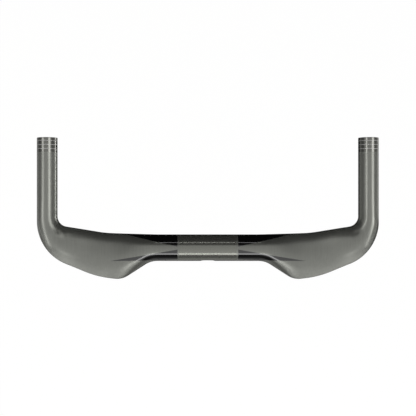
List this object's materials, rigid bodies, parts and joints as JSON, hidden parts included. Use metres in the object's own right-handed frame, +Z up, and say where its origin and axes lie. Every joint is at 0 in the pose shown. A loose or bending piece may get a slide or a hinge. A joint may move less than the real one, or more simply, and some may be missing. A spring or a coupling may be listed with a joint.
{
  "type": "bullhorn handlebar",
  "caption": "Aero bullhorn handlebar: hollow carbon moulding with a round stem barrel, flat wings that sweep out and down, and open tubular grips pointing forward.",
  "frame": {"origin": "middle of the round barrel that the stem holds, on the barrel's axis", "axes": "+X along the barrel to the rider's right, +Y forward, the way the grips point, +Z up"},
  "size_m": [0.4254, 0.1734, 0.0666],
  "materials": {
    "carbon_laminate": "satin clear-coated unidirectional carbon fibre, with gloss clear coat on the printed parts"
  },
  "bodies": {
    "root": {"handlebar": "carbon_laminate"}
  },
  "joints": []
}
